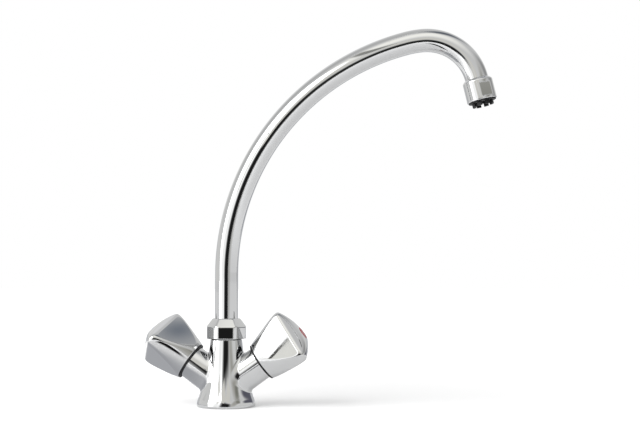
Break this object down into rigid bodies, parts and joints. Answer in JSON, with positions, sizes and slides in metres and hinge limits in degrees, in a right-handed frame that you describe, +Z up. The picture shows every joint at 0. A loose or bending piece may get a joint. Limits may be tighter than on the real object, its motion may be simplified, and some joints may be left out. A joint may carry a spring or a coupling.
{
  "type": "two handle kitchen faucet",
  "caption": "Deck-mounted kitchen mixer with a high swivelling swan-neck spout, a cast Y body and three-lobed quarter-turn handles on raised arms.",
  "frame": {"origin": "centre of the base on the deck surface, on the column's axis", "axes": "+Z up along the column, +X toward the right arm and the spout at rest, -X toward the left arm, -Y toward the front of the picture"},
  "size_m": [0.2775, 0.0502, 0.2922],
  "materials": {
    "chrome": "polished chrome plate",
    "brass": "turned brass",
    "rubber": "black nitrile rubber",
    "black_plastic": "black moulded plastic",
    "white_plastic": "white moulded plastic",
    "ceramic": "lapped alumina ceramic",
    "steel": "stainless steel",
    "red_plastic": "red plastic",
    "blue_plastic": "blue plastic"
  },
  "bodies": {
    "body": {"mixer_body": "chrome", "base_gasket": "rubber", "spout_nut": "chrome", "left_valve_bonnet": "brass", "left_bonnet_ring": "rubber", "left_disc_seal": "rubber", "left_fixed_disc": "ceramic", "right_valve_bonnet": "brass", "right_bonnet_ring": "rubber", "right_disc_seal": "rubber", "right_fixed_disc": "ceramic"},
    "spout": {"spout_tube": "chrome", "spout_collar": "brass", "spout_glide_ring": "white_plastic", "spout_foot": "brass", "lower_spout_ring": "rubber", "upper_spout_ring": "rubber", "aerator_housing": "chrome", "aerator_washer": "rubber", "aerator_insert": "black_plastic", "aerator_jet_plate": "white_plastic", "aerator_screen": "steel"},
    "left_handle_unit": {"left_handle": "chrome", "left_handle_insert": "black_plastic", "left_handle_screw": "steel", "left_index_button": "blue_plastic", "left_spindle": "brass", "left_spindle_ring": "rubber", "left_spindle_clip": "steel", "left_moving_disc": "ceramic"},
    "right_handle_unit": {"right_handle": "chrome", "right_handle_insert": "black_plastic", "right_handle_screw": "steel", "right_index_button": "red_plastic", "right_spindle": "brass", "right_spindle_ring": "rubber", "right_spindle_clip": "steel", "right_moving_disc": "ceramic"}
  },
  "joints": [
    {"name": "spout_swivel", "type": "hinge", "parent": "body", "child": "spout", "pos_m": [0, 0, 0], "axis": [0, 0, 1], "continuous": true},
    {"name": "left_handle_turn", "type": "hinge", "parent": "body", "child": "left_handle_unit", "pos_m": [0, 0, 0.015], "axis": [-0.8192, 0, 0.5736], "range_deg": [0, 90]},
    {"name": "right_handle_turn", "type": "hinge", "parent": "body", "child": "right_handle_unit", "pos_m": [0, 0, 0.015], "axis": [0.8192, 0, 0.5736], "range_deg": [0, 90]}
  ]
}
